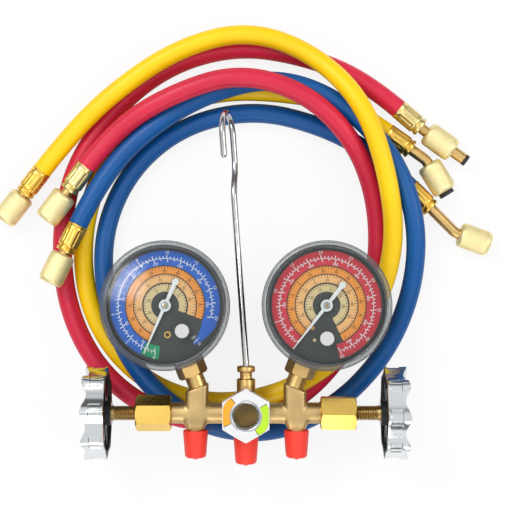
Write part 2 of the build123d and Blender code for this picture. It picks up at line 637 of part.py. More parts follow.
def movement(side):
    """Two plates on four pillars, with the bearings of arbor and sector."""
    top = UPPER_PLATE + PLATE_THICK
    frame = block(-PLATE_W / 2, PLATE_W / 2, PLATE_LOW - 8, PLATE_HIGH, 0, PLATE_THICK)
    frame += block(-PLATE_W / 2, PLATE_W / 2, PLATE_LOW, PLATE_HIGH, UPPER_PLATE, top)
    for x in (-PILLAR_X, PILLAR_X):
        for y in (PLATE_LOW + 2.5, PLATE_HIGH - 1.5):
            frame += rod(PILLAR_R, PLATE_THICK, UPPER_PLATE, x=x, y=y)
    frame -= rod(PIVOT_R + RUN_FIT, -1, PLATE_THICK + 1)
    frame -= rod(ARBOR_R + RUN_FIT, UPPER_PLATE - 1, top + 1)
    frame -= rod(PIVOT_R + RUN_FIT, -1, top + 1, y=PIVOT_Y)
    return gauge_plane(side).location * frame


def arbor(side):
    """Pinion with its pivot and the spindle that carries the pointer."""
    shape = rod(PIVOT_R, 0.3, PINION_Z + 1) + rod(PINION_R, PINION_Z, PINION_Z + PINION_LEN)
    shape += rod(ARBOR_R, PINION_Z + PINION_LEN - 1, POINTER_Z + POINTER_HUB)
    return gauge_plane(side).location * shape


def sector_turn(travel, zero):
    """Sector's angle from upright when the pointer is where it is built."""
    return -(travel / 2 - zero) / GEAR


def sector(side, turn):
    """Toothed quadrant and its tail on one pivot."""
    reach = SECTOR_R
    half = radians(SECTOR_HALF)
    left = (-reach * sin(half), -reach * cos(half))
    right = (reach * sin(half), -reach * cos(half))
    outline = [Line((0, 0), left), ThreePointArc(left, (0, -reach), right), Line(right, (0, 0))]
    plate = extrude(make_face(Wire(outline)), SECTOR_THICK)
    plate += rod(2.2, 0, SECTOR_THICK)
    plate += block(-SECTOR_ARM / 2, SECTOR_ARM / 2, 0, SECTOR_TAIL, 0, SECTOR_THICK)
    plate += rod(SECTOR_ARM / 2, 0, SECTOR_THICK, y=SECTOR_TAIL)
    plate += rod(PIVOT_R, 0, SECTOR_THICK + LINK_THICK + 0.6, y=SECTOR_TAIL)
    plate += rod(PIVOT_R, 0.3 - SECTOR_Z, UPPER_PLATE + PLATE_THICK - SECTOR_Z)
    place = Pos(0, PIVOT_Y, SECTOR_Z) * Rot(0, 0, turn)
    return gauge_plane(side).location * place * plate


def link(side, turn):
    """Link from the sector's tail to the slot over the bourdon tube's pin."""
    lean = radians(turn)
    tail_x = -SECTOR_TAIL * sin(lean)
    tail_y = PIVOT_Y + SECTOR_TAIL * cos(lean)
    low = SECTOR_Z + SECTOR_THICK + 0.1
    reach = LINK_REACH + 5
    bar = block(0, reach, -LINK_W / 2, LINK_W / 2, low, low + LINK_THICK)
    bar += rod(LINK_W / 2, low, low + LINK_THICK)
    bar -= rod(PIVOT_R + RUN_FIT, low - 1, low + 2)
    bar -= block(LINK_REACH - 3.4, LINK_REACH + 3.4, -1.1, 1.1, low - 1, low + 2)
    return gauge_plane(side).location * Pos(tail_x, tail_y, 0) * bar


def pointer(side, angle):
    """Tapered needle with a tail and a hub pressed on the arbor."""
    tip, waist, tail = POINTER_TIP_W / 2, POINTER_W / 2, POINTER_TAIL_W / 2
    outline = Polyline((-tip, -POINTER_LEN), (tip, -POINTER_LEN), (waist, 0),
                       (tail, POINTER_TAIL), (-tail, POINTER_TAIL), (-waist, 0), close=True)
    needle = Pos(0, 0, POINTER_Z) * extrude(make_face(outline), POINTER_THICK)
    top = POINTER_Z + POINTER_HUB
    needle += spun([(0, POINTER_Z), (POINTER_HUB_R, POINTER_Z), (POINTER_HUB_R, top - 0.5),
                    (POINTER_HUB_R - 0.5, top), (0, top)])
    needle -= rod(ARBOR_R, POINTER_Z - 1, top + 1)
    return Pos(side * GAUGE_X, GAUGE_Y, 0) * Rot(0, 0, -angle) * needle


# ---- hoses ------------------------------------------------------------------------------------
def arc_radii(points):
    """Arc at each corner: 0.45 of the shorter run over the tangent of half the turn."""
    radii = []
    for a, b, c in zip(points, points[1:], points[2:]):
        before = Vector(*b) - Vector(*a)
        after = Vector(*c) - Vector(*b)
        half = radians(before.get_angle(after)) / 2
        radii.append(0.45 * min(before.length, after.length) / tan(half))
    return radii


def hose_tube(name, points):
    """Round hose along straight runs joined by tangent arcs."""
    radii = arc_radii(points)
    path = FilletPolyline(*points, radius=radii)
    heading = Vector(*points[1]) - Vector(*points[0])
    section = Plane(origin=points[0], z_dir=heading) * Circle(HOSE_R)
    tube = sweep(section, path)
    length = path.length
    print(name, "length %.1f" % length, "radii %.0f to %.0f" % (min(radii), max(radii)),
          "volume/section %.5f" % (tube.volume / (pi * HOSE_R ** 2 * length)))
    return tube


def ferrule(plane):
    """Crimped ferrule, its mouth on the hose's end."""
    waist = FERRULE_BAND
    far = FERRULE_LEN - FERRULE_BAND
    shape = spun([(0, 0), (FERRULE_R - 0.4, 0), (FERRULE_R, 0.4), (FERRULE_R, waist),
                  (FERRULE_WAIST, waist + 0.6), (FERRULE_WAIST, far - 0.6), (FERRULE_R, far),
                  (FERRULE_R, FERRULE_LEN - 1.2), (FERRULE_R - 1.2, FERRULE_LEN),
                  (0, FERRULE_LEN)], plane)
    return shape - rod(TAIL_BORE, 6, FERRULE_LEN + 1, plane)


def tail_head(plane, start, nose):
    """Collar and nose that seat a tail inside its nut, and where the nose ends."""
    at = start + NUT_WALL + AIR
    end = at + COLLAR + nose
    return spun([(0, at), (COLLAR_R, at), (COLLAR_R, at + COLLAR), (NOSE_R, at + COLLAR),
                 (NOSE_R, end), (0, end)], plane), end


def flare_nut(plane, start):
    """Knurled flare nut, free to turn on the tail."""
    end = start + FLARE_NUT_LEN
    shape = spun([(0, start), (FLARE_NUT_R - 1.4, start), (FLARE_NUT_R, start + 1),
                  (FLARE_NUT_R, end - NUT_LIP), (FLARE_NUT_R - NUT_LIP, end), (0, end)], plane)
    shape -= rod(TAIL_R + RUN_FIT, start - 1, start + NUT_WALL + 1, plane)
    shape -= rod(NUT_RELIEF_R, start + NUT_WALL, end - NUT_THREAD, plane)
    return shape - rod(NUT_THREAD_R, start + NUT_WALL, end + 1, plane)


def seal(plane, end, size):
    """Rubber gasket on the end of a tail's nose."""
    radius, overlap, thick = size
    ring = rod(radius, end - overlap, end + thick, plane)
    if overlap:
        ring -= rod(NOSE_R, end - overlap - 1, end, plane)
    return ring - rod(TAIL_BORE, end - 1, end + thick + 1, plane)


def end_plane(points):
    """Plane at a hose's first point, its normal leaving the hose."""
    out = Vector(*points[0]) - Vector(*points[1])
    return Plane(origin=points[0], z_dir=out)


def near_tail(plane, nut_at):
    """Straight tail between a ferrule and its nut at the manifold end."""
    head, end = tail_head(plane, nut_at, NOSE)
    tail = rod(TAIL_R, FERRULE_LEN, nut_at + NUT_WALL + 1, plane) + head
    return tail - rod(TAIL_BORE, FERRULE_LEN - 1, end + 1, plane), end


def far_tail(plane, run, heading, nose):
    """Bent tail at the service end, with the plane of its nut."""
    turn = radians(heading)
    aim = Vector(cos(turn), sin(turn), 0)
    start = plane.origin + plane.z_dir * FERRULE_LEN
    elbow = start + plane.z_dir * run
    nut_plane = Plane(origin=elbow + aim * NUT_RUN, z_dir=aim)
    head, end = tail_head(nut_plane, 0, nose)
    path = FilletPolyline(start, elbow, nut_plane.origin + aim * (NUT_WALL + 1),
                          radius=TAIL_BEND)
    mouth = Plane(origin=start, z_dir=plane.z_dir)
    tail = sweep(mouth * Circle(TAIL_R), path) + head
    tail -= sweep(mouth * Circle(TAIL_BORE), path)
    return tail - rod(TAIL_BORE, NUT_WALL, end + 1, nut_plane), nut_plane, end


def hose_set():
    """Every piece of the three hoses, where the hoses lie."""
    still = Pos(0, 0, 0)
    seals = []
    for name, (points, neck, run, heading, nose, gasket) in HOSES.items():
        near = end_plane(points)
        far = end_plane(points[::-1])
        nut_at = FERRULE_LEN + neck
        straight, near_end = near_tail(near, nut_at)
        bent, nut_plane, far_end = far_tail(far, run, heading, nose)
        save(f"hose_{name}", hose_tube(name, points), still)
        save(f"ferrules_{name}", Compound(children=[ferrule(near), ferrule(far)]), still)
        save(f"tails_{name}", Compound(children=[straight, bent]), still)
        save(f"nut_{name}_near", flare_nut(near, nut_at), still)
        save(f"nut_{name}_far", flare_nut(nut_plane, 0), still)
        seals += [seal(near, near_end, NEAR_SEAL), seal(nut_plane, far_end, gasket)]
    save("hose_seals", Compound(children=seals), still)


# ---- write every piece ------------------------------------------------------------------------
save("manifold_body", manifold_body())
save("sight_nut", sight_nut())
save("sight_lens", sight_lens())
save("sight_indicator", rod(LENS_R, SIGHT_SPIGOT_TOP, SIGHT_SPIGOT_TOP + DISC_THICK))
save("hook_nut", hook_nut())
save("hanging_hook", hanging_hook())
for label, (x, foot) in zip(("low", "mid", "high"), PORTS):
    save(f"cap_{label}", port_cap(x, foot))

SIDES = (("low", -1, LOW_NEEDLE, LOW_TRAVEL, LOW_LEAD, LOW_PLUG, 30, 9),
         ("high", 1, HIGH_NEEDLE, HIGH_TRAVEL, HIGH_LEAD, HIGH_PLUG, 0, 0))
for label, side, needle, travel, zero, spot, hex_turn, phase in SIDES:
    turn = sector_turn(travel, zero)
    save(f"bonnet_{label}", bonnet(side, hex_turn))
    save(f"packing_{label}", packing(side))
    save(f"valve_disc_{label}", valve_disc(side))
    save(f"stem_{label}", stem(side))
    save(f"handwheel_{label}", handwheel(side, phase))
    save(f"handwheel_screw_{label}", handwheel_screw(side))
    save(f"gauge_socket_{label}", gauge_socket(side))
    save(f"case_{label}", case(side))
    save(f"cover_{label}", cover(side, spot))
    save(f"zero_plug_{label}", zero_plug(side, spot))
    save(f"dial_{label}", dial(side))
    save(f"bourdon_tube_{label}", bourdon_tube(side))
    save(f"movement_{label}", movement(side))
    save(f"arbor_{label}", arbor(side))
    save(f"sector_{label}", sector(side, turn))
    save(f"link_{label}", link(side, turn))
    save(f"pointer_{label}", pointer(side, needle))
hose_set()
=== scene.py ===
"""Looks for the refrigerant manifold gauge. Metres in the frame, millimetres in the helpers."""
from math import cos, degrees, pi, radians, sin

import bmesh
import bpy
from mathutils import Matrix, Vector

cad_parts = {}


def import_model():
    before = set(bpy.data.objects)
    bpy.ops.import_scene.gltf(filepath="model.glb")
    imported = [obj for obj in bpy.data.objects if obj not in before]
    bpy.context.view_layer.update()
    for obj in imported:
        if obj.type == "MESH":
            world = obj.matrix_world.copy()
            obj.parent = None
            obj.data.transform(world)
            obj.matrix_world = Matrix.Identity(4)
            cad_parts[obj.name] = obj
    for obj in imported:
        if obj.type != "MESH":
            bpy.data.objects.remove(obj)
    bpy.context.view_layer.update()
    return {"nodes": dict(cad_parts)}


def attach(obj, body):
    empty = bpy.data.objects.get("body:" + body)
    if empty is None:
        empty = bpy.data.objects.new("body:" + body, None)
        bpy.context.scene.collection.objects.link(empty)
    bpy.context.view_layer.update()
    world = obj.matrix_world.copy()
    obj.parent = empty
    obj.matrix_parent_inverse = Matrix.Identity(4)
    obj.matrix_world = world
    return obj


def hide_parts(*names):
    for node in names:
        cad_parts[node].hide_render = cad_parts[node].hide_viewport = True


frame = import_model()
NODES = frame["nodes"]
MM = 0.001
AXIS_Y = -75.556
FLOOR_Z = -37.0
GAUGE_X = 47.994
GAUGE_Y = -9.976
DIAL_TOP = 14.0
SIDES = (("low", -1), ("high", 1))


# ---- camera ------------------------------------------------------------------------------------
cam = bpy.data.cameras.new("camera")
cam.sensor_fit = "HORIZONTAL"
cam.sensor_width = 36.0
cam.lens = 18.0 * 1322.6 / 255.0
cam.clip_start = 0.01
camera = bpy.data.objects.new("camera", cam)
camera.location = (0.00544, 0.0200, 0.800)
bpy.context.scene.collection.objects.link(camera)
bpy.context.scene.camera = camera
bpy.context.scene.view_settings.view_transform = "Standard"


# ---- colours and materials ---------------------------------------------------------------------
def rgb(code):
    """Linear colour from a six-digit sRGB code."""
    out = []
    for i in (0, 2, 4):
        c = int(code[i:i + 2], 16) / 255
        out.append(c / 12.92 if c <= 0.04045 else ((c + 0.055) / 1.055) ** 2.4)
    return (*out, 1.0)


def material(name, colour, rough=0.4, metal=0.0, dark=0.8, light=1.1, scale=40.0, bump=0.0,
             bump_scale=400.0, coat=0.0, **sockets):
    """Principled surface whose colour, gloss and relief vary with noise."""
    mat = bpy.data.materials.new(name)
    mat.use_nodes = True
    tree = mat.node_tree
    nodes, link = tree.nodes, tree.links.new
    shader = nodes["Principled BSDF"]
    shader.inputs["Metallic"].default_value = metal
    shader.inputs["Coat Weight"].default_value = coat
    shader.inputs["Coat Roughness"].default_value = 0.12
    for key, value in sockets.items():
        shader.inputs[key.replace("_", " ")].default_value = value
    where = nodes.new("ShaderNodeTexCoord")
    noise = nodes.new("ShaderNodeTexNoise")
    noise.inputs["Scale"].default_value = scale
    noise.inputs["Detail"].default_value = 5.0
    link(where.outputs["Object"], noise.inputs["Vector"])
    ramp = nodes.new("ShaderNodeValToRGB")
    base = rgb(colour)
    ramp.color_ramp.elements[0].position = 0.3
    ramp.color_ramp.elements[1].position = 0.7
    ramp.color_ramp.elements[0].color = (*[min(1, c * dark) for c in base[:3]], 1)
    ramp.color_ramp.elements[1].color = (*[min(1, c * light) for c in base[:3]], 1)
    link(noise.outputs["Fac"], ramp.inputs["Fac"])
    link(ramp.outputs["Color"], shader.inputs["Base Color"])
    spread = nodes.new("ShaderNodeMapRange")
    spread.inputs["To Min"].default_value = max(0.02, rough - 0.08)
    spread.inputs["To Max"].default_value = min(1.0, rough + 0.08)
    fine = nodes.new("ShaderNodeTexNoise")
    fine.inputs["Scale"].default_value = bump_scale
    fine.inputs["Detail"].default_value = 3.0
    link(where.outputs["Object"], fine.inputs["Vector"])
    link(fine.outputs["Fac"], spread.inputs["Value"])
    link(spread.outputs["Result"], shader.inputs["Roughness"])
    if bump:
        relief = nodes.new("ShaderNodeBump")
        relief.inputs["Strength"].default_value = bump
        relief.inputs["Distance"].default_value = 0.0003
        link(fine.outputs["Fac"], relief.inputs["Height"])
        link(relief.outputs["Normal"], shader.inputs["Normal"])
    return mat


def clear(name, tint, rough, strength):
    """Thin clear plastic: what is behind shows through a Fresnel gloss."""
    mat = bpy.data.materials.new(name)
    mat.use_nodes = True
    tree = mat.node_tree
    nodes, link = tree.nodes, tree.links.new
    nodes.remove(nodes["Principled BSDF"])
    through = nodes.new("ShaderNodeBsdfTransparent")
    through.inputs["Color"].default_value = rgb(tint)
    gloss = nodes.new("ShaderNodeBsdfGlossy")
    gloss.inputs["Color"].default_value = (strength, strength, strength, 1)
    scratch = nodes.new("ShaderNodeTexNoise")
    scratch.inputs["Scale"].default_value = 90.0
    spread = nodes.new("ShaderNodeMapRange")
    spread.inputs["To Min"].default_value = rough * 0.7
    spread.inputs["To Max"].default_value = rough * 1.4
    link(scratch.outputs["Fac"], spread.inputs["Value"])
    link(spread.outputs["Result"], gloss.inputs["Roughness"])
    edge = nodes.new("ShaderNodeFresnel")
    edge.inputs["IOR"].default_value = 1.27
    mix = nodes.new("ShaderNodeMixShader")
    side = nodes.new("ShaderNodeNewGeometry")
    front = nodes.new("ShaderNodeMath")
    front.operation = "SUBTRACT"
    front.inputs[0].default_value = 1.0
    outer = nodes.new("ShaderNodeMath")
    outer.operation = "MULTIPLY"
    link(side.outputs["Backfacing"], front.inputs[1])
    link(edge.outputs["Fac"], outer.inputs[0])
    link(front.outputs[0], outer.inputs[1])
    link(outer.outputs[0], mix.inputs["Fac"])
    link(through.outputs["BSDF"], mix.inputs[1])
    link(gloss.outputs["BSDF"], mix.inputs[2])
    link(mix.outputs["Shader"], nodes["Material Output"].inputs["Surface"])
    return mat


MAT = {
    "forged": material("forged_brass", "CDB07A", 0.42, 1.0, 0.74, 1.10, 60, 0.35, 900),
    "bright": material("bright_brass", "F3CC6A", 0.27, 1.0, 0.90, 1.06, 25, 0.0, 300),
    "neck": material("turned_brass", "DDB978", 0.32, 1.0, 0.80, 1.10, 80, 0.10, 900),
    "ferrule": material("ferrule_brass", "F2C862", 0.28, 1.0, 0.85, 1.08, 120, 0.05, 700),
    "ferrule_pale": material("ferrule_pale_brass", "EBD592", 0.30, 1.0, 0.9, 1.06, 120, 0.05, 700),
    "nut": material("nut_brass", "F6E7AE", 0.50, 0.85, 0.93, 1.04, 150, 0.10, 1500),
    "inner": material("movement_brass", "C9A25C", 0.35, 1.0, 0.8, 1.1, 90, 0.1, 700),
    "yellow": material("hose_yellow", "FDCE00", 0.42, 0, 0.93, 1.03, 25, 0.08, 1400, 0.05,
                       Specular_IOR_Level=0.35),
    "red": material("hose_red", "D42343", 0.42, 0, 0.90, 1.05, 25, 0.08, 1400, 0.05,
                       Specular_IOR_Level=0.35),
    "blue": material("hose_blue", "00549A", 0.42, 0, 0.90, 1.06, 25, 0.08, 1400, 0.05,
                       Specular_IOR_Level=0.35),
    "cap": material("cap_plastic", "EE3A2A", 0.42, 0, 0.95, 1.03, 60, 0.08, 900),
    "chrome": material("wheel_chrome", "DCE0E2", 0.12, 1.0, 0.92, 1.04, 25, 0.04, 500),
    "hollow": material("wheel_hollow_black", "17181A", 0.5, 0, 0.7, 1.3, 60, 0.2, 700),
    "steel": material("zinc_steel", "C4C6C8", 0.25, 1.0, 0.85, 1.05, 90, 0.05, 700),
    "rod": material("hook_rod_chrome", "C9CCCE", 0.14, 1.0, 0.9, 1.05, 60, 0.03, 700),
    "case": material("case_black", "2B2D30", 0.35, 0, 0.85, 1.15, 50, 0.15, 900, 0.2),
    "dial": material("dial_grey", "454745", 0.55, 0, 0.95, 1.05, 60),
    "dial_blue": material("dial_blue", "2F66C8", 0.5, 0, 0.96, 1.04, 60),
    "dial_red": material("dial_red", "D63A48", 0.5, 0, 0.96, 1.04, 60),
    "dial_orange": material("dial_orange", "F59A42", 0.5, 0, 0.97, 1.03, 60),
    "dial_peach": material("dial_peach", "F8BC7C", 0.5, 0, 0.97, 1.03, 60),
    "dial_beige": material("dial_beige", "E2C995", 0.5, 0, 0.97, 1.03, 60),
    "dial_line": material("dial_line_dark", "3A322C", 0.5, 0, 0.95, 1.05, 60),
    "dial_green": material("dial_green", "2A9E6C", 0.5, 0, 0.96, 1.04, 60),
    "ink_white": material("ink_white", "F4F6F8", 0.5, 0, 0.97, 1.0, 60),
    "ink_dark": material("ink_dark", "4A3A2A", 0.5, 0, 0.9, 1.1, 60),
    "pointer": material("pointer_white", "F2F3F3", 0.35, 0, 0.97, 1.0, 60),
    "plug": material("plug_white", "C4C5C4", 0.4, 0, 0.97, 1.02, 60, 0.05, 900),
    "white": material("nut_white_enamel", "DFE0E0", 0.28, 0, 0.97, 1.0, 60, 0.04, 700, 0.3),
    "orange": material("sector_orange", "F7A416", 0.4, 0, 0.97, 1.03, 60),
    "lime": material("sector_green", "B4E01C", 0.4, 0, 0.97, 1.03, 60),
    "indicator": material("indicator_brown", "A88C56", 0.3, 0.5, 0.6, 1.35, 120, 0.1, 600),
    "rubber": material("gasket_rubber", "1C1F20", 0.5, 0, 0.8, 1.2, 90, 0.15, 900),
    "cover": clear("cover_clear", "F4F6F6", 0.06, 1.0),
    "lens": clear("lens_glass", "F0EEE6", 0.03, 1.0),
    "rim": material("cover_rim_grey", "6E7276", 0.14, 0, 0.85, 1.12, 40, 0.03, 500, 0.8,
                    Alpha=0.36),
    # thin dark rings at the cover rim's edges: painted shade standing in for the dark edges that
    # clear plastic shows
    "rim_edge_shade": material("cover_edge_painted_shade", "3C3F42", 0.25, 0, 0.9, 1.1, 40),
    "screw": material("screw_brass", "B89C66", 0.34, 1.0, 0.75, 1.1, 90, 0.1, 900),
}


# ---- mesh helpers ------------------------------------------------------------------------------
def along(origin, axis, side=(0, 0, 1)):
    """Matrix with its third direction on an axis; the origin is in millimetres."""
    z = Vector(axis).normalized()
    x = Vector(side) - Vector(side).dot(z) * z
    if x.length < 1e-6:
        x = Vector((1, 0, 0)) - Vector((1, 0, 0)).dot(z) * z
    x.normalize()
    y = z.cross(x)
    m = Matrix((x, y, z)).transposed().to_4x4()
    m.translation = Vector(origin) * MM
    return m


def piece(name, verts, faces, mat, body, nodes=(), where=None, mats=None, sharp=40.0):
    """Mesh object from millimetre points, attached to a body; the CAD nodes it replaces are
    hidden.
    """
    mesh = bpy.data.meshes.new(name)
    mesh.from_pydata([Vector(v) * MM for v in verts], [], [f[:] for f in faces])
    if where is not None:
        mesh.transform(where)
    used = [mat] if isinstance(mat, str) else list(mat)
    for m in used:
        mesh.materials.append(MAT[m])
    if mats:
        mesh.polygons.foreach_set("material_index", mats)
    bm = bmesh.new()
    bm.from_mesh(mesh)
    bmesh.ops.remove_doubles(bm, verts=bm.verts, dist=1e-7)
    if mats is None:
        bmesh.ops.recalc_face_normals(bm, faces=bm.faces)
    bm.to_mesh(mesh)
    bm.free()
    mesh.shade_smooth()
    mesh.set_sharp_from_angle(angle=radians(sharp))
    obj = bpy.data.objects.new(name, mesh)
    bpy.context.scene.collection.objects.link(obj)
    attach(obj, body)
    if nodes:
        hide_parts(*nodes)
    return obj


def soften(profile, size, steps=3):
    """Round each corner of an open or closed profile by a short curve."""
    out = [profile[0]]
    for a, p, b in zip(profile, profile[1:], profile[2:]):
        pa = Vector(a) - Vector(p)
        pb = Vector(b) - Vector(p)
        if pa.length < 1e-6 or pb.length < 1e-6:
            continue
        u = Vector(p) + pa * min(size / pa.length, 0.42)
        v = Vector(p) + pb * min(size / pb.length, 0.42)
        for k in range(steps + 1):
            t = k / steps
            out.append(tuple(u * (1 - t) ** 2 + Vector(p) * 2 * t * (1 - t) + v * t * t))
    out.append(profile[-1])
    return out


def lathe(profile, around=64, shape=None):
    """Surface of revolution; a shape function may change the radius by angle and height."""
    verts, faces, rows = [], [], []
    for r, h in profile:
        if r < 1e-5:
            verts.append((0, 0, h))
            rows.append([len(verts) - 1] * around)
            continue
        row = []
        for i in range(around):
            a = 2 * pi * i / around
            rr, hh = shape(r, h, a) if shape else (r, h)
            verts.append((rr * cos(a), rr * sin(a), hh))
            row.append(len(verts) - 1)
        rows.append(row)
    for low, high in zip(rows, rows[1:]):
        for i in range(around):
            j = (i + 1) % around
            face = []
            for v in (low[i], low[j], high[j], high[i]):
                if v not in face:
                    face.append(v)
            if len(face) > 2:
                faces.append(face)
    return verts, faces


def turned(name, profile, where, mat, body, nodes=(), around=64, round_to=0.25):
    """A turned piece with its corners eased."""
    verts, faces = lathe(soften(profile, round_to), around)
    return piece(name, verts, faces, mat, body, nodes, where)


# ---- hoses, as curves with a round section -----------------------------------------------------
YELLOW = [(-127.4, 72.8, -26.2), (-111.0, 93.5, -24.7), (-83.0, 120.5, -19.5),
          (-43.5, 147.5, -18.5), (0.0, 159.5, -19.0), (40.0, 146.0, -18.5), (71.5, 114.0, -5.5),
          (87.0, 68.5, -7.0), (92.5, 25.0, -17.5), (79.0, -17.0, -18.5), (49.5, -51.5, -18.0),
          (8.5, -71.0, -24.5), (-35.5, -72.5, -31.0), (-75.0, -52.0, -31.0),
          (-99.5, -14.0, -31.0), (-104.0, 32.0, -31.0), (-91.0, 76.0, -31.0),
          (-60.5, 109.0, -30.5), (-18.0, 123.5, -31.0), (27.0, 122.0, -31.0),
          (64.0, 114.0, -30.7), (88.3, 96.6, -29.3)]
RED = [(-98.6, 74.7, -16.8), (-82.0, 96.5, -16.0), (-48.0, 117.5, -8.0), (-4.5, 131.5, -6.0),
       (37.5, 119.0, -6.5), (68.5, 89.0, -16.0), (83.0, 48.0, -28.5), (81.5, 2.5, -31.0),
       (63.5, -39.0, -31.0), (32.5, -72.5, -31.0), (-9.0, -86.5, -31.0), (-53.5, -81.5, -31.0),
       (-90.5, -56.0, -30.5), (-112.0, -16.5, -31.0), (-117.0, 29.0, -31.0),
       (-109.5, 73.5, -30.5), (-84.5, 111.0, -31.0), (-49.0, 139.5, -30.5),
       (-5.0, 151.5, -30.0), (38.5, 144.5, -31.0), (74.0, 129.5, -29.6), (95.4, 111.5, -29.2)]
BLUE = [(-103.9, 38.7, -17.0), (-92.0, 63.5, -18.5), (-67.5, 93.0, -18.5), (-29.5, 118.0, -17.5),
        (15.5, 131.0, -19.0), (57.0, 117.0, -18.0), (90.0, 84.5, -18.5), (106.0, 42.5, -16.5),
        (104.5, -2.5, -27.0), (86.5, -44.5, -31.0), (54.0, -77.0, -31.0), (12.0, -92.5, -22.0),
        (-32.0, -84.0, -15.5), (-67.0, -55.0, -17.5), (-87.0, -13.5, -24.5),
        (-91.0, 32.0, -30.5), (-74.0, 73.0, -31.0), (-40.0, 101.5, -30.0),
        (5.0, 111.5, -30.5), (48.0, 101.0, -30.0), (83.5, 81.5, -29.6), (102.7, 62.2, -29.2)]
# route, neck, straight run of the bent tail, heading of the far nut, length in metres
HOSES = {"yellow": (YELLOW, 1.0, 11.0, -58.0, 0.893), "red": (RED, 3.0, 1.6, -36.0, 0.889),
         "blue": (BLUE, 1.5, 21.0, -20.0, 0.895)}
FERRULE_LEN = 18.5
NUT_RUN = 3.0
NUT_LEN = 20.0


def hose_curve(name, points):
    """The hose as one smooth line with a round section."""
    curve = bpy.data.curves.new(f"{name}_hose", "CURVE")
    curve.dimensions = "3D"
    line = curve.splines.new("NURBS")
    line.points.add(len(points) - 1)
    for p, xyz in zip(line.points, points):
        p.co = (*[c * MM for c in xyz], 1.0)
    line.order_u = 3
    line.use_endpoint_u = True
    line.resolution_u = 14
    curve.bevel_depth = 0.006
    curve.bevel_resolution = 8
    curve.use_fill_caps = True
    obj = bpy.data.objects.new(f"{name}_hose", curve)
    curve.materials.append(MAT[name])
    bpy.context.scene.collection.objects.link(obj)
    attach(obj, "hoses")
    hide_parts(f"hose_{name}")
    return obj


FLUTES = 10


def fluted(r, h, a):
    """Crimp flutes along the middle of a ferrule."""
    if 2.6 < h < 14.4:
        ease = min(1.0, (h - 2.6) / 1.2, (14.4 - h) / 1.2)
        wave = abs(sin(a * FLUTES / 2))
        r = r - 0.45 * ease * (1 - wave ** 0.8)
    return r, h


def ferrule_mesh():
    """Crimped ferrule: collar, fluted sleeve, waist and end band."""
    rows = [(2.4, 0.0), (5.9, 0.0), (6.28, 0.3), (6.28, 1.5), (6.05, 1.9), (6.05, 2.3),
            (6.26, 2.7)]
    rows += [(6.26, 2.7 + k * 0.9) for k in range(1, 13)]
    rows += [(6.26, 14.3), (5.9, 14.8), (5.25, 15.3), (5.25, 16.0), (5.9, 16.4), (6.0, 17.6),
             (5.5, 18.45), (2.0, 18.5)]
    return lathe(rows, FLUTES * 14, fluted)


def join(parts):
    """Several (verts, faces, matrix) made into one list."""
    verts, faces = [], []
    for v, f, m in parts:
        start = len(verts)
        verts += [tuple((m @ (Vector(p) * MM)) / MM) for p in v]
        faces += [[i + start for i in face] for face in f]
    return verts, faces


KNURL = 72
KNURL_DEEP = 0.14


def knurled(r, h, a):
    """Fine straight knurl between two plain bands."""
    if 2.4 < h < 17.6 and r > 7.3:
        ease = min(1.0, (h - 2.4) / 0.5, (17.6 - h) / 0.5)
        r = r - KNURL_DEEP * ease * (0.5 + 0.5 * cos(a * KNURL))
    return r, h


def nut_piece(name, where, body):
    """Knurled flare nut with a deep mouth."""
    rows = [(3.45, 0.0), (5.6, 0.0), (6.6, 0.35), (7.35, 1.1), (7.72, 2.0), (7.72, 2.4)]
    rows += [(7.72, 2.9), (7.72, 6), (7.72, 9), (7.72, 12), (7.72, 15), (7.72, 17.1),
             (7.72, 17.6), (7.6, 18.3), (7.0, 19.4), (6.4, 20.0), (5.9, 20.0), (5.62, 19.6)]
    step = 0
    while 19.2 - step * 1.25 > 10.8:
        h = 19.2 - step * 1.25
        rows += [(5.62, h), (5.3, h - 0.6)]
        step += 1
    rows += [(5.62, 10.6), (5.9, 10.4), (5.9, 3.4), (3.45, 3.4), (3.45, 0.0)]
    verts, faces = lathe(rows, KNURL * 4, knurled)
    piece(name, verts, faces, "nut", body, (name.replace("_knurled", ""),), where,
          sharp=50)


def nut_frames(route, neck, run, heading):
    """Back face and direction of the near nut and of the far nut."""
    near_axis = (Vector(route[0]) - Vector(route[1])).normalized()
    far_axis = (Vector(route[-1]) - Vector(route[-2])).normalized()
    aim = Vector((cos(radians(heading)), sin(radians(heading)), 0))
    return ((Vector(route[0]) + near_axis * (FERRULE_LEN + neck), near_axis),
            (Vector(route[-1]) + far_axis * (FERRULE_LEN + run) + aim * NUT_RUN, aim))


def fittings(name, route, neck, run, heading):
    """Ferrules and nuts at both ends, where the hose route puts them."""
    near = along(route[0], Vector(route[0]) - Vector(route[1]))
    far = along(route[-1], Vector(route[-1]) - Vector(route[-2]))
    mesh = ferrule_mesh()
    mat = "ferrule_pale" if name == "red" else "ferrule"
    verts, faces = join([(*mesh, near), (*mesh, far)])
    ends = piece(f"{name}_crimped_ferrules", verts, faces, mat, "hoses",
                 (f"ferrules_{name}",), sharp=50)
    for end, (at, way) in zip(("near", "far"), nut_frames(route, neck, run, heading)):
        nut_piece(f"nut_{name}_{end}_knurled", along(at, way), f"nut_{name}_{end}")
    return ends


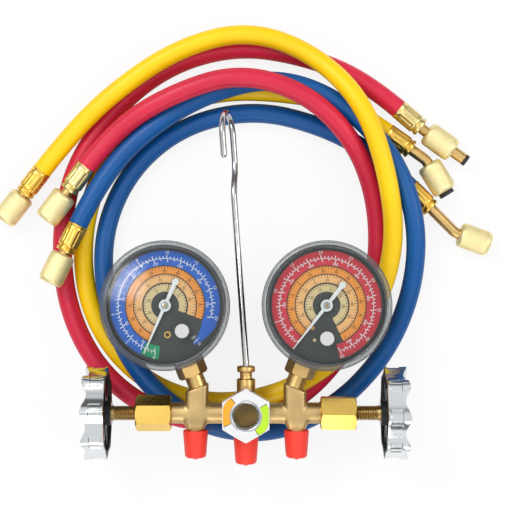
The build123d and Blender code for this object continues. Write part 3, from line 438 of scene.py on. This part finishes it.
def seals_by_hose():
    """The gaskets as one object per hose, each gasket going to the hose whose end is nearest."""
    source = NODES["hose_seals"].data
    bm = bmesh.new()
    bm.from_mesh(source)
    seen = set()
    groups = {colour: ([], []) for colour in HOSES}
    for first in bm.verts:
        if first in seen:
            continue
        seen.add(first)
        island = [first]
        for v in island:
            for e in v.link_edges:
                w = e.other_vert(v)
                if w not in seen:
                    seen.add(w)
                    island.append(w)
        middle = sum((v.co for v in island), Vector()) / len(island) / MM
        colour = min(HOSES, key=lambda c: min((middle - at - way * NUT_LEN / 2).length
                                              for at, way in nut_frames(*HOSES[c][:4])))
        verts, faces = groups[colour]
        index = {v: len(verts) + i for i, v in enumerate(island)}
        verts += [v.co / MM for v in island]
        faces += [[index[v] for v in f.verts] for f in bm.faces if f.verts[0] in index]
    bm.free()
    return {colour: piece(f"gaskets_{colour}", verts, faces, "rubber", "hoses",
                          ("hose_seals",))
            for colour, (verts, faces) in groups.items()}


GASKETS = seals_by_hose()

for colour, (route, neck, run, heading, length) in HOSES.items():
    hose = hose_curve(colour, route)
    ends = fittings(colour, route, neck, run, heading)


# ---- manifold body: the forging with its corners blended ---------------------------------------
def forging():
    """The solid's mesh, remeshed fine and smoothed, so that the bosses flow into the tube."""
    node = NODES["manifold_body"]
    mesh = node.data.copy()
    obj = bpy.data.objects.new("forged_manifold_body", mesh)
    bpy.context.scene.collection.objects.link(obj)
    remesh = obj.modifiers.new("remesh", "REMESH")
    remesh.mode = "VOXEL"
    remesh.voxel_size = 0.0005
    smooth = obj.modifiers.new("smooth", "SMOOTH")
    smooth.factor = 0.5
    smooth.iterations = 22
    graph = bpy.context.evaluated_depsgraph_get()
    done = bpy.data.meshes.new_from_object(obj.evaluated_get(graph))
    obj.modifiers.clear()
    obj.data = done
    done.materials.clear()
    done.materials.append(MAT["forged"])
    done.shade_smooth()
    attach(obj, "manifold")
    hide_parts("manifold_body")


forging()


# ---- valve stems with their screw thread -------------------------------------------------------
THREAD_PITCH = 1.5
THREAD_DEPTH = 0.75


def threaded(r, h, a):
    """Helical groove on the stretch that carries the screw."""
    if r > 4.5 and 58.8 < h < 80.4:
        ease = min(1.0, (h - 58.8) / 1.0, (80.4 - h) / 1.0)
        phase = (h / THREAD_PITCH - a / (2 * pi)) % 1.0
        r = r - THREAD_DEPTH * ease * (1 - abs(2 * phase - 1)) ** 0.8
    return r, h


def stem_piece(label, side):
    """Shank, screw and plain end of a valve stem."""
    rows = [(0, 29.0), (1.8, 29.0), (1.8, 30.4), (3.0, 30.4), (3.0, 58.0), (4.1, 58.0),
            (4.65, 58.6)]
    rows += [(4.65, 58.8 + k * 0.25) for k in range(88)]
    rows += [(4.4, 81.0), (3.95, 81.0), (3.95, 92.0), (0, 92.0)]
    verts, faces = lathe(rows, 36, threaded)
    where = along((0, AXIS_Y, 0), (side, 0, 0))
    piece(f"stem_screw_{label}", verts, faces, "screw", f"wheel_{label}",
          (f"stem_{label}",), where, sharp=60)


# ---- handwheels --------------------------------------------------------------------------------
LOBES = 8
AROUND = 256
HUB_R = 7.4
HUB_FOOT = 81.2
FLOOR = 91.3            # inner face of the web
RIM_BACK = 83.6
FACE = 94.5             # outer face of web and hub
WALL_R = 25.2
HOLLOW_R = 22.6
LOBE_REACH = 3.2        # how far a lobe stands out past the face between lobes


def lobe(a, power=1.0):
    """1 on a lobe, 0 in the scallop between two lobes."""
    return max(0.0, 0.5 + 0.5 * cos(a * LOBES)) ** power


def wheel_outline(a):
    """Outer radius by angle: round lobes with wide scallops."""
    return WALL_R + 2.7 * lobe(a, 1.6)


def wheel_piece(label, side, phase):
    """Chrome handwheel: lobes flare outwards, and panels sit between them."""
    rows = []

    def ring(f):
        """One row of points; f gives radius and distance along the axis by angle."""
        rows.append([f(2 * pi * i / AROUND) for i in range(AROUND)])

    def panel(a):
        """1 inside a recessed panel, 0 outside it."""
        swing = ((a * LOBES / (2 * pi) - 0.5) % 1.0) - 0.5
        wide = abs(swing) * 2 * pi / LOBES * WALL_R
        return max(0.0, min(1.0, (4.4 - wide) / 0.5))

    ring(lambda a: (HUB_R, HUB_FOOT))
    ring(lambda a: (HUB_R, FLOOR))
    ring(lambda a: (HOLLOW_R - 1, FLOOR))
    ring(lambda a: (HOLLOW_R, 90.8))
    ring(lambda a: (HOLLOW_R, 84.0))
    ring(lambda a: (HOLLOW_R + 0.5, RIM_BACK))
    ring(lambda a: (wheel_outline(a) - 0.5, RIM_BACK))
    ring(lambda a: (wheel_outline(a) - 0.05, 83.9))
    for h in (84.6, 85.3, 85.6, 86.0, 88.0, 90.0, 91.8, 92.2, 92.5):
        depth = 0.6 if 85.5 < h < 92.3 else 0.0
        ring(lambda a, h=h, d=depth: (wheel_outline(a) - d * panel(a), h))
    for t in (0.0, 0.35, 0.7, 0.9):
        ring(lambda a, t=t: (wheel_outline(a) + 0.25 * t * lobe(a, 2),
                             93.0 + (1.2 + LOBE_REACH * lobe(a, 1.1)) * t))
    ring(lambda a: (wheel_outline(a) - 0.5, 94.4 + LOBE_REACH * lobe(a, 1.1)))
    ring(lambda a: (wheel_outline(a) - 1.6, 94.5 + (LOBE_REACH - 0.1) * lobe(a, 1.1)))
    ring(lambda a: (WALL_R - 2.4 - 1.4 * lobe(a, 2), 94.5 + 2.0 * lobe(a, 1.8)))
    ring(lambda a: (WALL_R - 5.6, 94.4))
    ring(lambda a: (WALL_R - 9.0, 94.0))
    ring(lambda a: (9.0, 94.0))
    ring(lambda a: (7.6, FACE))
    ring(lambda a: (4.0, FACE))
    ring(lambda a: (4.0, HUB_FOOT))
    ring(lambda a: (HUB_R, HUB_FOOT))
    verts, faces, mats = [], [], []
    for row in rows:
        for i, (r, h) in enumerate(row):
            a = 2 * pi * i / AROUND
            verts.append((r * cos(a), r * sin(a), h))
    for k in range(len(rows) - 1):
        for i in range(AROUND):
            j = (i + 1) % AROUND
            faces.append((k * AROUND + i, k * AROUND + j, (k + 1) * AROUND + j,
                          (k + 1) * AROUND + i))
            mats.append(1 if k < 6 else 0)
    for n in range(LOBES):
        a = 2 * pi * (n + 0.5) / LOBES
        c, s = cos(a), sin(a)
        base = len(verts)
        for r in (7.0, HOLLOW_R + 0.4):
            for w in (-0.8, 0.8):
                for h in (84.6, 92.0):
                    verts.append((r * c - w * s, r * s + w * c, h))
        for f in ((0, 1, 5, 4), (2, 6, 7, 3), (0, 4, 6, 2), (1, 3, 7, 5), (0, 2, 3, 1),
                  (4, 5, 7, 6)):
            faces.append(tuple(base + i for i in f))
            mats.append(0)
    where = along((0, AXIS_Y, 0), (side, 0, 0)) @ Matrix.Rotation(radians(phase), 4, "Z")
    piece(f"lobed_handwheel_{label}", verts, faces, ("chrome", "hollow"), f"wheel_{label}",
          (f"handwheel_{label}",), where, mats, sharp=35)


# ---- dials -------------------------------------------------------------------------------------
BAND_IN = 23.9
BAND_OUT = 32.6
BASELINE = 27.9          # radius of the pressure scale, with ticks on both sides
TICK_W = 0.5
RING_TICK_W = 0.36
RING_LINE = 0.55


class Print:
    """Flat printed shapes on a dial, in several inks, gathered into one mesh."""

    def __init__(self, centre):
        self.centre = centre
        self.verts, self.faces, self.mats, self.inks = [], [], [], []

    def ink(self, name):
        """Number of an ink in this print, which is added when it is new."""
        if name not in self.inks:
            self.inks.append(name)
        return self.inks.index(name)

    def add(self, points, faces, ink, level):
        """Points round the dial's centre, at a level above its face."""
        start = len(self.verts)
        cx, cy = self.centre
        self.verts += [(x + cx, y + cy, DIAL_TOP + level) for x, y in points]
        self.faces += [[i + start for i in f] for f in faces]
        self.mats += [self.ink(ink)] * len(faces)

    def band(self, inner, outer, start, end, ink, level):
        """Ring sector; angles in degrees clockwise from straight down."""
        steps = max(2, int(abs(end - start) / 2.5))
        points, faces = [], []
        for k in range(steps + 1):
            a = radians(start + (end - start) * k / steps)
            for r in (inner, outer):
                points.append((-r * sin(a), -r * cos(a)))
        for k in range(steps):
            faces.append([2 * k, 2 * k + 2, 2 * k + 3, 2 * k + 1])
        self.add(points, faces, ink, level)

    def tick(self, angle, inner, outer, wide, ink, level):
        """Short radial line."""
        half = degrees(wide / 2 / ((inner + outer) / 2))
        self.band(inner, outer, angle - half, angle + half, ink, level)

    def disc(self, x, y, r, ink, level, steps=24):
        """Round spot."""
        points = [(x + r * cos(2 * pi * k / steps), y + r * sin(2 * pi * k / steps))
                  for k in range(steps)]
        self.add(points, [list(range(steps))], ink, level)

    def number(self, text, angle, reach, size, ink, level):
        """Plain figures, upright towards the outside of the dial."""
        curve = bpy.data.curves.new("figures", "FONT")
        curve.body = text
        curve.size = size
        curve.align_x = "CENTER"
        curve.align_y = "CENTER"
        curve.resolution_u = 3
        obj = bpy.data.objects.new("figures", curve)
        bpy.context.scene.collection.objects.link(obj)
        graph = bpy.context.evaluated_depsgraph_get()
        mesh = bpy.data.meshes.new_from_object(obj.evaluated_get(graph))
        a = radians(angle)
        x, y = -reach * sin(a), -reach * cos(a)
        turn = pi - a
        c, s = cos(turn), sin(turn)
        points = [(x + v.co.x * c - v.co.y * s, y + v.co.x * s + v.co.y * c)
                  for v in mesh.vertices]
        self.add(points, [list(p.vertices) for p in mesh.polygons], ink, level)
        bpy.data.objects.remove(obj)
        bpy.data.meshes.remove(mesh)

    def make(self, name, body):
        """Turn the gathered shapes into one piece of the scene."""
        piece(name, self.verts, self.faces, self.inks, body, mats=self.mats)


def scale_marks(art, start, end, count, every, figures, inner_figures):
    """Baseline with ticks each side, longer at every figure."""
    art.band(27.75, 28.1, start, end, "ink_white", 0.10)
    for k in range(count + 1):
        a = start + (end - start) * k / count
        reach = 2.2 if k % every == 0 else 1.35
        art.tick(a, BASELINE, BASELINE + reach, TICK_W, "ink_white", 0.10)
        if k % 2 == 0:
            art.tick(a + 1.2, BASELINE - reach * 0.9, BASELINE, TICK_W, "ink_white", 0.10)
    for k, text in enumerate(figures):
        a = start + (end - start) * k / (len(figures) - 1)
        art.number(text, a, 31.5, 2.7, "ink_white", 0.11)
    for k, text in enumerate(inner_figures):
        a = start + (end - start) * (k + 0.55) / len(inner_figures)
        art.number(text, a, 24.9, 2.3, "ink_white", 0.11)


RINGS = ((23.3, 19.0, "dial_orange"), (18.4, 13.7, "dial_peach"), (12.8, 8.3, "dial_beige"))


def rings(art, start, end, steps):
    """Three temperature rings with fine ticks and figures."""
    for n, (outer, inner, ink) in enumerate(RINGS):
        art.band(inner, outer, start, end, ink, 0.04)
        art.band(outer, outer + RING_LINE, start, end, "dial_line", 0.05)
        count = steps - 14 * n
        for k in range(count + 1):
            a = start + (end - start) * k / count
            art.tick(a, outer - (2.0 if k % 5 == 0 else 1.2), outer, RING_TICK_W,
                     "dial_line", 0.07)
        for k in range(1, count // 5):
            a = start + (end - start) * k * 5 / count
            art.number(str(abs(-40 + 10 * k)), a, inner + 1.4, 2.4, "dial_line", 0.08)


def dial_low():
    """Blue band, green patch and three rings that end at a dark wedge."""
    art = Print((-GAUGE_X, GAUGE_Y))
    art.band(BAND_IN, BAND_OUT, 27, 291, "dial_blue", 0.03)
    for k in range(8):
        inner = BAND_IN + 0.5 * k
        art.band(inner, BAND_OUT - 0.45 * k, 291 + 4 * k, 295 + 4 * k, "dial_blue", 0.03)
    art.band(24.4, 32.2, 7, 27, "dial_green", 0.04)
    scale_marks(art, 12, 284, 64, 4, ["0", "2", "4", "6", "8", "10", "12", "15", "20"],
                ["10", "30", "50", "80", "120", "160", "200", "250"])
    rings(art, 22, 291, 60)
    for r, size in ((25.4, 2.0), (30.6, 2.2)):
        art.number("500" if r < 28 else "35", 318, r, size, "ink_white", 0.11)
    art.band(27.75, 28.05, 313, 323, "ink_white", 0.10)
    art.tick(318, 26.9, 28.9, 0.32, "ink_white", 0.10)
    art.disc(1.4, -17.4, 2.1, "inner", 0.06)
    art.disc(1.4, -17.4, 1.1, "dial_line", 0.08)
    art.make("dial_print_low", "manifold")


def dial_high():
    """Red band and three rings, both open at the bottom."""
    art = Print((GAUGE_X, GAUGE_Y))
    art.band(BAND_IN, BAND_OUT, 37, 346, "dial_red", 0.03)
    scale_marks(art, 37.7, 343, 72, 4, ["0", "5", "10", "15", "20", "25", "30", "35", "40", "50"],
                ["50", "100", "150", "200", "300", "400", "500", "600", "800"])
    rings(art, 39, 335, 66)
    art.disc(-8.4, -13.4, 1.3, "inner", 0.06)
    art.disc(-7.2, -20.6, 1.0, "dial_beige", 0.08)
    art.make("dial_print_high", "manifold")


def pointer_piece(label, side, angle):
    """Tapered needle with a flared tail and a ringed hub."""
    outline = [(-0.28, -31), (0.28, -31), (1.0, -3.4), (1.05, 3.2), (1.25, 13.6), (2.2, 15.4),
               (1.9, 16.2), (1.3, 16.4), (0.9, 17.5), (-0.9, 17.5), (-1.3, 16.4),
               (-1.9, 16.2), (-2.2, 15.4), (-1.25, 13.6), (-1.05, 3.2), (-1.0, -3.4)]
    n = len(outline)
    verts = [(x, y, 15.25) for x, y in outline] + [(x, y, 15.95) for x, y in outline]
    faces = [list(range(n))[::-1], list(range(n, 2 * n))]
    faces += [[i, (i + 1) % n, n + (i + 1) % n, n + i] for i in range(n)]
    mats = [0] * len(faces)
    hub = soften([(0, 15.2), (3.6, 15.2), (3.6, 16.6), (2.5, 16.9), (2.3, 16.5), (0, 16.5)], 0.2)
    hv, hf = lathe(hub, 48)
    start = len(verts)
    verts += hv
    faces += [[i + start for i in f] for f in hf]
    mats += [0] * len(hf)
    cap = soften([(0, 16.5), (2.2, 16.5), (1.9, 16.95), (0, 17.0)], 0.15)
    cv, cf = lathe(cap, 32)
    start = len(verts)
    verts += cv
    faces += [[i + start for i in f] for f in cf]
    mats += [1] * len(cf)
    where = Matrix.Translation(Vector((side * GAUGE_X, GAUGE_Y, 0)) * MM)
    where = where @ Matrix.Rotation(radians(-angle), 4, "Z")
    piece(f"needle_{label}", verts, faces, ("pointer", "steel"), f"pointer_{label}",
          (f"pointer_{label}",), where, mats)


def cover_rim(label, side):
    """Grey translucent rim round the clear cover, with two turned steps, and thin dark rings along
    its edges that are painted shade.
    """
    rows = [(34.6, 20.45), (35.2, 20.75), (36.4, 20.9), (37.4, 20.6), (38.2, 19.8), (38.6, 18.4),
            (38.6, 9.0), (38.3, 8.5), (36.1, 8.5), (36.1, 16.0), (34.9, 16.0), (34.9, 18.2),
            (34.6, 20.45)]
    verts, faces = lathe(soften(rows, 0.35), 128)
    where = Matrix.Translation(Vector((side * GAUGE_X, GAUGE_Y, 0)) * MM)
    piece(f"cover_rim_{label}", verts, faces, "rim", "manifold", (), where)
    # dark rings on the rim's inner edge, top, outer corner and outer slope: painted shade in place
    # of the dark edges of clear plastic
    edge_shade_rings = [(34.4, 0.22, 20.62), (36.0, 0.12, 20.95), (38.45, 0.2, 18.6), (37.5, 0.1, 20.6)]
    verts, faces = [], []
    for r, half, h in edge_shade_rings:
        v, f = lathe([(r - half, h), (r, h + 0.12), (r + half, h), (r, h - 0.12),
                      (r - half, h)], 128)
        base = len(verts)
        verts += v
        faces += [[i + base for i in face] for face in f]
    piece(f"cover_edge_shade_{label}", verts, faces, "rim_edge_shade", "manifold", (), where)


# ---- sight glass -------------------------------------------------------------------------------
def hex_reach(a):
    """Distance to the hexagon's edge, its flats facing left and right."""
    turn = (a + pi / 6) % (pi / 3) - pi / 6
    return min(13.6 / cos(turn), 14.3)


def sight_art():
    """Two coloured sectors on the nut's face, with dark edges."""
    verts, faces, mats = [], [], []
    for start, end, ink, grow in ((128, 207, 2, 0.0), (-57, 32, 2, 0.0), (130, 205, 0, 0.02),
                                  (-55, 30, 1, 0.02)):
        steps = 24
        base = len(verts)
        for k in range(steps + 1):
            a = radians(start + (end - start) * k / steps)
            out = hex_reach(a) - (0 if grow else -0.05)
            for r in (9.75 - (0 if grow else 0.15), out):
                verts.append((r * cos(a), r * sin(a) + AXIS_Y, 17.02 + grow))
        for k in range(steps):
            faces.append((base + 2 * k, base + 2 * k + 1, base + 2 * k + 3, base + 2 * k + 2))
            mats.append(ink)
    piece("sight_sectors", verts, faces, ("orange", "lime", "ink_dark"), "manifold",
          mats=mats)
    rows = [(7.3, 15.0), (7.3, 16.2), (8.2, 17.0), (8.6, 17.16), (9.3, 17.12), (9.5, 16.98)]
    verts, faces = lathe(soften(rows, 0.2), 96)
    piece("sight_ring", verts, faces, "steel", "manifold",
          where=Matrix.Translation((0, AXIS_Y * MM, 0)))


# ---- small turned pieces -----------------------------------------------------------------------
def caps():
    """Moulded port caps with a nub."""
    for label, x, foot in (("low", -30.5, 10.0), ("mid", 0.0, 13.7), ("high", 30.5, 10.0)):
        top = foot + 0.3
        rows = [(5.6, top), (7.2, top), (7.58, top + 0.4), (7.5, top + 2), (6.5, top + 15.0),
                (6.1, top + 16.0), (5.2, top + 16.6), (2.4, top + 16.9), (1.5, top + 17.2),
                (0.6, top + 17.9), (0, top + 17.9)]
        turned(f"moulded_cap_{label}", rows, along((x, AXIS_Y, 0), (0, -1, 0)), "cap",
               f"cap_{label}", (f"cap_{label}",), 72, 0.4)


def hook_nut():
    """Spool nut of the hook, edges eased."""
    rows = [(0, 8.3), (2.9, 8.3), (2.9, 13.3), (5.6, 13.3), (5.6, 20.3), (5.0, 20.9),
            (3.65, 20.9), (3.65, 24.8), (4.85, 24.8), (5.45, 25.4), (5.45, 27.9), (4.85, 28.5),
            (1.95, 28.5), (1.95, 20.0)]
    turned("spool_nut", rows, along((0, AXIS_Y, 0), (0, 1, 0)), "neck", "manifold",
           ("hook_nut",), 64, 0.2)


for label, side in SIDES:
    stem_piece(label, side)
wheel_piece("low", -1, 9)
wheel_piece("high", 1, 0)
dial_low()
dial_high()
pointer_piece("low", -1, 23.6)
pointer_piece("high", 1, 37.7)
for label, side in SIDES:
    cover_rim(label, side)
sight_art()
caps()
hook_nut()

# ---- materials of the CAD nodes that stay ------------------------------------------------------
KEPT = {
    "bonnet": "bright", "packing": "rubber", "valve_disc": "rubber", "stem": "neck",
    "handwheel_screw": "steel", "gauge_socket": "neck", "case": "case", "cover": "cover",
    "zero_plug": "plug", "dial": "dial", "bourdon_tube": "inner", "movement": "inner",
    "arbor": "inner", "sector": "inner", "link": "inner", "sight_nut": "white",
    "sight_lens": "lens", "sight_indicator": "indicator", "hanging_hook": "rod",
    "hose_seals": "rubber", "tails": "neck", "nut": "nut", "ferrules": "ferrule", "cap": "cap",
    "hook_nut": "neck", "manifold_body": "forged", "handwheel": "chrome", "pointer": "pointer",
    "hose": "yellow",
}
for name, obj in NODES.items():
    key = max((k for k in KEPT if name.startswith(k)), key=len)
    obj.data.materials.clear()
    obj.data.materials.append(MAT[KEPT[key]])
    obj.data.shade_smooth()
    obj.data.set_sharp_from_angle(angle=radians(30))


# ---- floor and light ---------------------------------------------------------------------------
def floor():
    """Plain pale floor; the camera sees it almost white."""
    mesh = bpy.data.meshes.new("floor")
    size = 30.0
    z = FLOOR_Z * MM
    mesh.from_pydata([(-size, -size, z), (size, -size, z), (size, size, z), (-size, size, z)], [],
                     [(0, 1, 2, 3)])
    mat = bpy.data.materials.new("floor_white")
    mat.use_nodes = True
    nodes, link = mat.node_tree.nodes, mat.node_tree.links.new
    shader = nodes["Principled BSDF"]
    shader.inputs["Base Color"].default_value = (0.88, 0.88, 0.88, 1)
    shader.inputs["Roughness"].default_value = 0.9
    shader.inputs["Specular IOR Level"].default_value = 0.0
    glow = nodes.new("ShaderNodeEmission")
    glow.inputs["Strength"].default_value = 1.0
    rays = nodes.new("ShaderNodeLightPath")
    mix = nodes.new("ShaderNodeMixShader")
    share = nodes.new("ShaderNodeMath")
    share.operation = "MULTIPLY"
    share.inputs[1].default_value = 0.85
    link(rays.outputs["Is Camera Ray"], share.inputs[0])
    link(share.outputs[0], mix.inputs["Fac"])
    link(shader.outputs["BSDF"], mix.inputs[1])
    link(glow.outputs["Emission"], mix.inputs[2])
    link(mix.outputs["Shader"], nodes["Material Output"].inputs["Surface"])
    mesh.materials.append(mat)
    obj = bpy.data.objects.new("floor", mesh)
    bpy.context.scene.collection.objects.link(obj)


def lamp(name, place, aim, size, power, shape="RECTANGLE", long=None):
    """Soft area lamp."""
    data = bpy.data.lights.new(name, "AREA")
    data.shape = shape
    data.size = size
    data.size_y = long or size
    data.energy = power
    obj = bpy.data.objects.new(name, data)
    obj.location = place
    obj.rotation_euler = (Vector(aim) - Vector(place)).to_track_quat("-Z", "Y").to_euler()
    bpy.context.scene.collection.objects.link(obj)


def world():
    """Pale room, darker near the horizon so that metal shows its form."""
    w = bpy.data.worlds.new("room")
    bpy.context.scene.world = w
    w.use_nodes = True
    nodes, link = w.node_tree.nodes, w.node_tree.links.new
    where = nodes.new("ShaderNodeTexCoord")
    split = nodes.new("ShaderNodeSeparateXYZ")
    link(where.outputs["Generated"], split.inputs["Vector"])
    ramp = nodes.new("ShaderNodeValToRGB")
    ramp.color_ramp.elements[0].position = 0.0
    ramp.color_ramp.elements[0].color = (0.55, 0.55, 0.56, 1)
    ramp.color_ramp.elements[1].position = 1.0
    ramp.color_ramp.elements[1].color = (1.0, 1.0, 1.0, 1)
    for place, value in ((0.12, 0.16), (0.38, 0.20), (0.55, 0.85), (0.8, 1.0)):
        e = ramp.color_ramp.elements.new(place)
        e.color = (value, value, value, 1)
    link(split.outputs["Z"], ramp.inputs["Fac"])
    back = nodes["Background"]
    link(ramp.outputs["Color"], back.inputs["Color"])
    back.inputs["Strength"].default_value = 0.9
    seen = nodes.new("ShaderNodeBackground")
    seen.inputs["Color"].default_value = (1, 1, 1, 1)
    rays = nodes.new("ShaderNodeLightPath")
    mix = nodes.new("ShaderNodeMixShader")
    link(rays.outputs["Is Camera Ray"], mix.inputs["Fac"])
    link(back.outputs["Background"], mix.inputs[1])
    link(seen.outputs["Background"], mix.inputs[2])
    link(mix.outputs["Shader"], nodes["World Output"].inputs["Surface"])


floor()
world()
lamp("key", (-0.55, 0.65, 0.95), (0, 0, 0), 0.55, 6.0)
lamp("fill", (0.85, 0.15, 0.75), (0, 0, 0), 0.6, 3.0)
lamp("low_fill", (-0.1, -0.9, 0.5), (0, -0.05, 0), 0.5, 2.5)
lamp("window", (-0.186, -0.01, 0.8), (-0.09, -0.01, 0.02), 0.04, 0.30, long=0.12)
